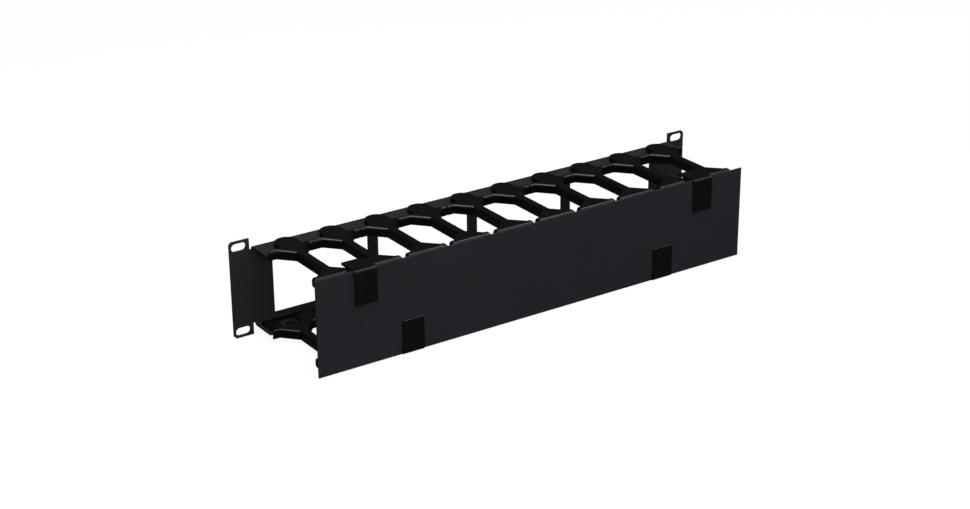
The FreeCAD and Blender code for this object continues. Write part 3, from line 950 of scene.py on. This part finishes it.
@dataclass
class HingeClips:
    """The four hinge clips: leaves, hook plates and pins.

    One clip is modelled at the top, in the middle of the rack, and copied. Levels and depths are
    measured as on the fingers.

    Attributes:
        top_offset: Distance of the top clips from the middle.
        bottom_offset: Distance of the bottom clips from the middle.
        half_width: Half a clip's width.
        pin_level: Level of the hinge axis.
        pin_depth: Depth of the hinge axis.
        pin_radius: Radius of the pin.
        bore_play: Play round the pin.
        pin_corners: Corners round the pin and its bore.
        knuckle_radius: Radius of the knuckles.
        knuckle_corners: Corners round a knuckle.
        hook_knuckle_half_width: Half the width of the middle knuckle.
        knuckle_gap: Gap beside the middle knuckle.
        knuckle_room: Room round a knuckle that turns.
        leaf_front: Depth of the leaf's front face.
        leaf_back: Depth of the leaf's rear face on the cover.
        leaf_foot: Level of the leaf's free edge.
        foot_corner: Rounding of the free edge's corners.
        hook_level: Level of the hook plate's underside.
        hook_top: Level of the hook plate's top.
        hook_back: Depth of the hook plate's rear edge.
        key_half_width: Half the width of the key between two heads.
        key_back: Depth of the key's rear face.
        key_front: Depth of the key's front face.
        key_foot: Level of the key's foot.
        lip_half_width: Half the width of the lip behind the heads.
        lip_front: Depth of the lip's front face.
        lip_back: Depth of the lip's rear face.
        lip_foot: Level of the lip's foot.
        snap_levels: Levels of the middles of the snaps.
        snap_half_width: Half a snap's width.
        snap_half_height: Half a snap's height.
        snap_catch_depth: Depth at which a snap's barb begins.
        snap_tip_depth: Depth of the barb's tip.
        barb_root: Length of the barb before it begins to narrow.
        barb_half_height: Half the barb's height where it catches.
        tip_half_height: Half the barb's height at its tip.
        rim_round: Rounding of a clip's outer edges.
        round_strips: Strips across each rounding.
        pin_round: Rounding of the pin's ends.
    """

    top_offset: float = 175.0 * MM
    bottom_offset: float = 131.25 * MM
    half_width: float = 10.4 * MM
    pin_level: float = 40.4 * MM
    pin_depth: float = 107.6 * MM
    pin_radius: float = 0.9 * MM
    bore_play: float = 0.1 * MM
    pin_corners: int = 32
    knuckle_radius: float = 2.8 * MM
    knuckle_corners: int = 64
    hook_knuckle_half_width: float = 2.6 * MM
    knuckle_gap: float = 0.12 * MM
    knuckle_room: float = 0.1 * MM
    leaf_front: float = 110.4 * MM
    leaf_back: float = 108.6 * MM
    leaf_foot: float = 12.0 * MM
    foot_corner: float = 1.0 * MM
    hook_level: float = 40.8 * MM
    hook_top: float = 43.2 * MM
    hook_back: float = 88.2 * MM
    key_half_width: float = 1.85 * MM
    key_back: float = 94.2 * MM
    key_front: float = 99.9 * MM
    key_foot: float = 32.8 * MM
    lip_half_width: float = 6.1 * MM
    lip_front: float = 92.1 * MM
    lip_back: float = 90.7 * MM
    lip_foot: float = 40.1 * MM
    snap_levels: tuple[float, float] = (33.4 * MM, 18.4 * MM)
    snap_half_width: float = 2.5 * MM
    snap_half_height: float = 1.5 * MM
    snap_catch_depth: float = 107.2 * MM
    snap_tip_depth: float = 105.4 * MM
    barb_root: float = 0.1 * MM
    barb_half_height: float = 1.95 * MM
    tip_half_height: float = 0.9 * MM
    rim_round: float = 0.4 * MM
    round_strips: int = 3
    pin_round: float = 0.08 * MM

    def build(self) -> None:
        """Model one clip, copy it to its four places and give the copies their plastic."""
        masters = {"cover_leaf": self.leaf(), "hook_plate": self.hook_plate(), "hinge_pin": self.pin()}
        for row, offset in ((Row.TOP, self.top_offset), (Row.BOTTOM, self.bottom_offset)):
            hook_body = "top_hooks" if row is Row.TOP else "root"
            bodies = {"cover_leaf": "cover", "hook_plate": hook_body, "hinge_pin": hook_body}
            for side, sign in (("left", -1), ("right", 1)):
                for part, master in masters.items():
                    node = f"{row.value}_{side}_{part}"
                    piece = placed_copy(master, node + "_moulding", (sign * offset, 0.0, 0.0),
                                        row is Row.BOTTOM)
                    finish = Finishes.PIN if part == "hinge_pin" else Finishes.CLIP
                    finish_piece(piece, finish.value, bodies[part], node)
        for master in masters.values():
            choose(master)
            bpy.ops.object.delete()

    def barrel(self, name: str, left: float, right: float, radius: float,
               corners: int) -> bpy.types.Object:
        """Add a round barrel on the hinge axis.

        Args:
            name: The barrel's name.
            left: Its left end along X.
            right: Its right end along X.
            radius: Its radius.
            corners: Corners round it.

        Returns:
            The barrel.
        """
        deselect_all()
        bpy.ops.mesh.primitive_cylinder_add(vertices=corners, radius=radius, depth=right - left,
                                            rotation=(0.0, math.pi / 2, 0.0))
        barrel = bpy.context.active_object
        barrel.name = barrel.data.name = name
        barrel.location = ((left + right) / 2, -self.pin_depth, self.pin_level)
        bpy.ops.object.transform_apply(location=True, rotation=True, scale=True)
        snap_levels(barrel, 0, left, right)
        return barrel

    def leaf(self) -> bpy.types.Object:
        """Model the leaf on the cover's face, with its two knuckles and two snaps.

        Returns:
            The leaf.
        """
        outer, bore = self.half_width + OVERCUT, self.pin_radius + self.bore_play
        leaf = add_block("leaf", (-self.half_width, -self.leaf_front, self.leaf_foot),
                         (self.half_width, -self.leaf_back, self.pin_level))
        combine(leaf, self.barrel("knuckles", -self.half_width, self.half_width, self.knuckle_radius,
                                  self.knuckle_corners), Step.JOIN)
        middle = self.hook_knuckle_half_width + self.knuckle_gap
        combine(leaf, self.barrel("room", -middle, middle, self.knuckle_radius + self.knuckle_room,
                                  self.knuckle_corners), Step.CUT)
        combine(leaf, self.barrel("bore", -outer, outer, bore, self.pin_corners), Step.CUT)
        mouth = add_block("mouth", (-outer, -self.pin_depth, self.pin_level - bore),
                          (outer, -self.pin_depth + self.knuckle_radius + OVERCUT,
                           self.pin_level + bore))
        combine(leaf, mouth, Step.CUT)
        for level in self.snap_levels:
            combine(leaf, self.snap(level), Step.JOIN)
        clear_flat_edges(leaf)
        round_edges(leaf, self.leaf_radius, self.round_strips)
        shade_roundings(leaf)
        return leaf

    def snap(self, level: float) -> bpy.types.Object:
        """Model one snap: a shank through the cover and a barb that narrows to its tip.

        Args:
            level: Level of the snap's middle.

        Returns:
            The snap, reaching into the leaf.
        """
        snap = add_block("snap", (-self.snap_half_width, -(self.leaf_front + self.leaf_back) / 2,
                                  level - self.snap_half_height),
                         (self.snap_half_width, -self.snap_catch_depth, level + self.snap_half_height))
        barb = add_block("barb", (-self.snap_half_width, -self.snap_catch_depth - self.barb_root,
                                  level - self.barb_half_height),
                         (self.snap_half_width, -self.snap_catch_depth, level + self.barb_half_height))
        with shaping(barb):
            pick_faces(barb, lambda place, normal: normal.y > FACING)
            push_faces((0.0, self.snap_catch_depth - self.snap_tip_depth, 0.0), (0.0, 0.0, level),
                       (1.0, 1.0, self.tip_half_height / self.barb_half_height))
        combine(snap, barb, Step.JOIN)
        return snap

    def hook_plate(self) -> bpy.types.Object:
        """Model the hook plate: middle knuckle, plate over the heads, key between them and lip.

        Returns:
            The hook plate.
        """
        plate = add_block("hook", (-self.half_width, -self.pin_depth, self.hook_level),
                          (self.half_width, -self.hook_back, self.hook_top))
        outer = self.half_width + OVERCUT
        for side in (-1, 1):
            ends = sorted((side * self.hook_knuckle_half_width, side * outer))
            combine(plate, self.barrel("room", *ends, self.knuckle_radius + self.knuckle_room,
                                       self.knuckle_corners), Step.CUT)
        combine(plate, self.barrel("knuckle", -self.hook_knuckle_half_width,
                                   self.hook_knuckle_half_width, self.knuckle_radius,
                                   self.knuckle_corners), Step.JOIN)
        combine(plate, self.barrel("bore", -outer, outer, self.pin_radius, self.pin_corners),
                Step.CUT)
        inside = (self.hook_level + self.hook_top) / 2
        for name, half_width, front, back, foot in (
                ("key", self.key_half_width, self.key_front, self.key_back, self.key_foot),
                ("lip", self.lip_half_width, self.lip_front, self.lip_back, self.lip_foot)):
            combine(plate, add_block(name, (-half_width, -front, foot), (half_width, -back, inside)),
                    Step.JOIN)
        clear_flat_edges(plate)
        round_edges(plate, self.hook_radius, self.round_strips)
        shade_roundings(plate)
        return plate

    def pin(self) -> bpy.types.Object:
        """Model the hinge pin with softened ends.

        Returns:
            The pin.
        """
        pin = self.barrel("pin", -self.half_width, self.half_width, self.pin_radius, self.pin_corners)
        soften_edges(pin, self.pin_round)
        return pin

    def leaf_radius(self, one: Vector, other: Vector) -> float:
        """Tell how round an edge of the leaf is.

        Args:
            one: One end of the edge.
            other: The other end.

        Returns:
            The radius in metres.
        """
        at_foot = all(abs(end.z - self.leaf_foot) < NEAR for end in (one, other))
        at_side = all(abs(abs(end.x) - self.half_width) < NEAR for end in (one, other))
        if at_foot and at_side:
            return self.foot_corner
        bore = self.pin_radius + self.bore_play + NEAR
        if at_side and min(self.from_axis(one), self.from_axis(other)) < bore:
            return 0.0
        return self.rim_round if at_foot or at_side else 0.0

    def hook_radius(self, one: Vector, other: Vector) -> float:
        """Tell how round an edge of the hook plate is.

        Args:
            one: One end of the edge.
            other: The other end.

        Returns:
            The radius in metres.
        """
        rims = (all(abs(abs(end.x) - self.half_width) < NEAR for end in (one, other)),
                all(abs(end.y + self.hook_back) < NEAR and end.z > self.hook_level - NEAR
                    for end in (one, other)))
        clear = self.knuckle_radius + self.knuckle_room + self.rim_round
        return self.rim_round if any(rims) and max(one.y, other.y) > clear - self.pin_depth else 0.0

    def from_axis(self, place: Vector) -> float:
        """Give a place's distance from the hinge axis."""
        return math.hypot(place.y + self.pin_depth, place.z - self.pin_level)


# Camera, floor and light.


@dataclass(frozen=True)
class PhotoCamera:
    """The camera at the photo's viewing angle.

    Attributes:
        place: Where the camera stands, in metres.
        yaw: Turn about the vertical, in radians, 0 looking along +Y.
        pitch: Tilt, negative looking down, in radians.
        roll: Turn about the line of sight, in radians.
        focal_pixels: Focal length in pixels of the photo.
        photo_width: Width of the photo in pixels.
        sensor_width: Sensor width in millimetres.
        nearest: Nearest distance that is drawn, in metres.
        farthest: Farthest distance that is drawn.
    """

    place: Place = (-0.912982, -1.367053, 0.674192)
    yaw: float = -0.596141
    pitch: float = -0.402743
    roll: float = -0.006950
    focal_pixels: float = 1986.33
    photo_width: float = 970.0
    sensor_width: float = 36.0
    nearest: float = 0.05
    farthest: float = 50.0

    def build(self) -> None:
        """Make the camera and give it to the scene."""
        data = bpy.data.cameras.new("photo_camera")
        data.sensor_width = self.sensor_width
        data.lens = self.focal_pixels / self.photo_width * self.sensor_width
        data.clip_start, data.clip_end = self.nearest, self.farthest
        camera = bpy.data.objects.new("photo_camera", data)
        bpy.context.scene.collection.objects.link(camera)
        forward = Vector((-math.sin(self.yaw) * math.cos(self.pitch),
                          math.cos(self.yaw) * math.cos(self.pitch), math.sin(self.pitch)))
        level_right = Vector((math.cos(self.yaw), math.sin(self.yaw), 0.0))
        level_up = level_right.cross(forward)
        right = math.cos(self.roll) * level_right + math.sin(self.roll) * level_up
        up = -math.sin(self.roll) * level_right + math.cos(self.roll) * level_up
        turn = Matrix((right, up, -forward)).transposed()
        camera.matrix_world = Matrix.Translation(self.place) @ turn.to_4x4()
        bpy.context.scene.camera = camera


@dataclass(frozen=True)
class Softbox:
    """One rectangular lamp that looks at the object.

    Attributes:
        name: The lamp's name.
        place: Where it stands, in metres.
        width: Its width in metres.
        height: Its height in metres.
        power: Its power in watts.
        shadow: Whether it casts shadows.
    """

    name: str
    place: Place
    width: float
    height: float
    power: float
    shadow: bool = True

    def build(self) -> None:
        """Hang the lamp and turn it towards the origin."""
        data = bpy.data.lights.new(self.name, "AREA")
        data.shape = "RECTANGLE"
        data.size, data.size_y = self.width, self.height
        data.energy = self.power
        data.use_shadow = self.shadow
        lamp = bpy.data.objects.new(self.name, data)
        bpy.context.scene.collection.objects.link(lamp)
        lamp.location = self.place
        lamp.rotation_mode = "QUATERNION"
        lamp.rotation_quaternion = (-Vector(self.place)).to_track_quat("-Z", "Y")


@dataclass
class Studio:
    """A plain white studio: floor, surroundings and softboxes.

    Attributes:
        floor_half_width: Half the width of the floor in metres.
        floor_drop: How far the floor lies under the object.
        floor_colour: What the floor gives to anything but the camera.
        floor_white: Share of plain white in what the camera sees of the floor.
        surround: Strength of the surroundings for anything but the camera.
        lamps: The softboxes.
    """

    floor_half_width: float = 8.0
    floor_drop: float = 0.05 * MM
    floor_colour: float = 0.05
    floor_white: float = 0.92
    surround: float = 0.042
    lamps: list[Softbox] = field(default_factory=lambda: [
        Softbox("over_softbox", (0.1, -0.4, 2.3), width=1.0, height=1.0, power=22.5),
        Softbox("left_softbox", (-1.05, -0.25, 2.1), width=1.0, height=1.0, power=38.0),
        Softbox("right_softbox", (1.23, -0.93, 1.83), width=0.8, height=0.8, power=18.0),
        Softbox("front_softbox", (-0.2, -2.4, 0.9), width=1.6, height=1.0, power=15.0),
        Softbox("front_fill", (-0.2, -2.5, 0.4), width=1.6, height=0.8, power=19.0, shadow=False),
        Softbox("rear_softbox", (0.3, 1.9, 1.35), width=1.2, height=0.6, power=0.15),
    ])

    def build(self) -> None:
        """Set the view, the floor, the surroundings and the lamps."""
        bpy.context.scene.view_settings.view_transform = "Standard"
        self.lay_floor()
        self.fill_surroundings()
        for lamp in self.lamps:
            lamp.build()

    def lay_floor(self) -> None:
        """Lay the floor at the foot of the object."""
        deselect_all()
        bpy.ops.mesh.primitive_plane_add(size=2 * self.floor_half_width,
                                         location=(0.0, 0.0, CAD_BOX[0].z - self.floor_drop))
        floor = bpy.context.active_object
        floor.name = "floor"
        material = bpy.data.materials.new("studio_floor")
        material.use_nodes = True
        graph = Graph(material.node_tree)
        material.node_tree.nodes.remove(material.node_tree.nodes["Principled BSDF"])
        matt = graph.add("ShaderNodeBsdfDiffuse")
        seen = graph.add("ShaderNodeBsdfDiffuse")
        matt.inputs["Color"].default_value = (self.floor_colour,) * 3 + (1.0,)
        seen.inputs["Color"].default_value = WHITE
        white = graph.add("ShaderNodeEmission")
        shown = graph.add("ShaderNodeMixShader")
        shown.inputs["Fac"].default_value = self.floor_white
        graph.link(seen.outputs["BSDF"], shown.inputs[1])
        graph.link(white.outputs["Emission"], shown.inputs[2])
        pick = graph.add("ShaderNodeMixShader")
        graph.link(graph.add("ShaderNodeLightPath").outputs["Is Camera Ray"], pick.inputs["Fac"])
        graph.link(matt.outputs["BSDF"], pick.inputs[1])
        graph.link(shown.outputs["Shader"], pick.inputs[2])
        graph.link(pick.outputs["Shader"], material.node_tree.nodes["Material Output"].inputs["Surface"])
        floor.data.materials.append(material)

    def fill_surroundings(self) -> None:
        """Make the surroundings white to the camera and dim to everything else."""
        world = bpy.data.worlds.new("white_surroundings")
        bpy.context.scene.world = world
        world.use_nodes = True
        graph = Graph(world.node_tree)
        background = world.node_tree.nodes["Background"]
        background.inputs["Color"].default_value = WHITE
        path = graph.add("ShaderNodeLightPath")
        strength = graph.add("ShaderNodeMapRange")
        strength.inputs["To Min"].default_value = self.surround
        strength.inputs["To Max"].default_value = 1.0
        graph.link(path.outputs["Is Camera Ray"], strength.inputs["Value"])
        graph.link(strength.outputs["Result"], background.inputs["Strength"])


def main() -> None:
    """Build the pieces in order, then the studio and the camera."""
    logging.basicConfig(level=logging.INFO, format="%(name)s: %(message)s")
    deselect_all()
    for part in (SheetMetal(), FingerRows(), HingeClips(), Studio(), PhotoCamera()):
        part.build()


if __name__ == "__main__":
    main()
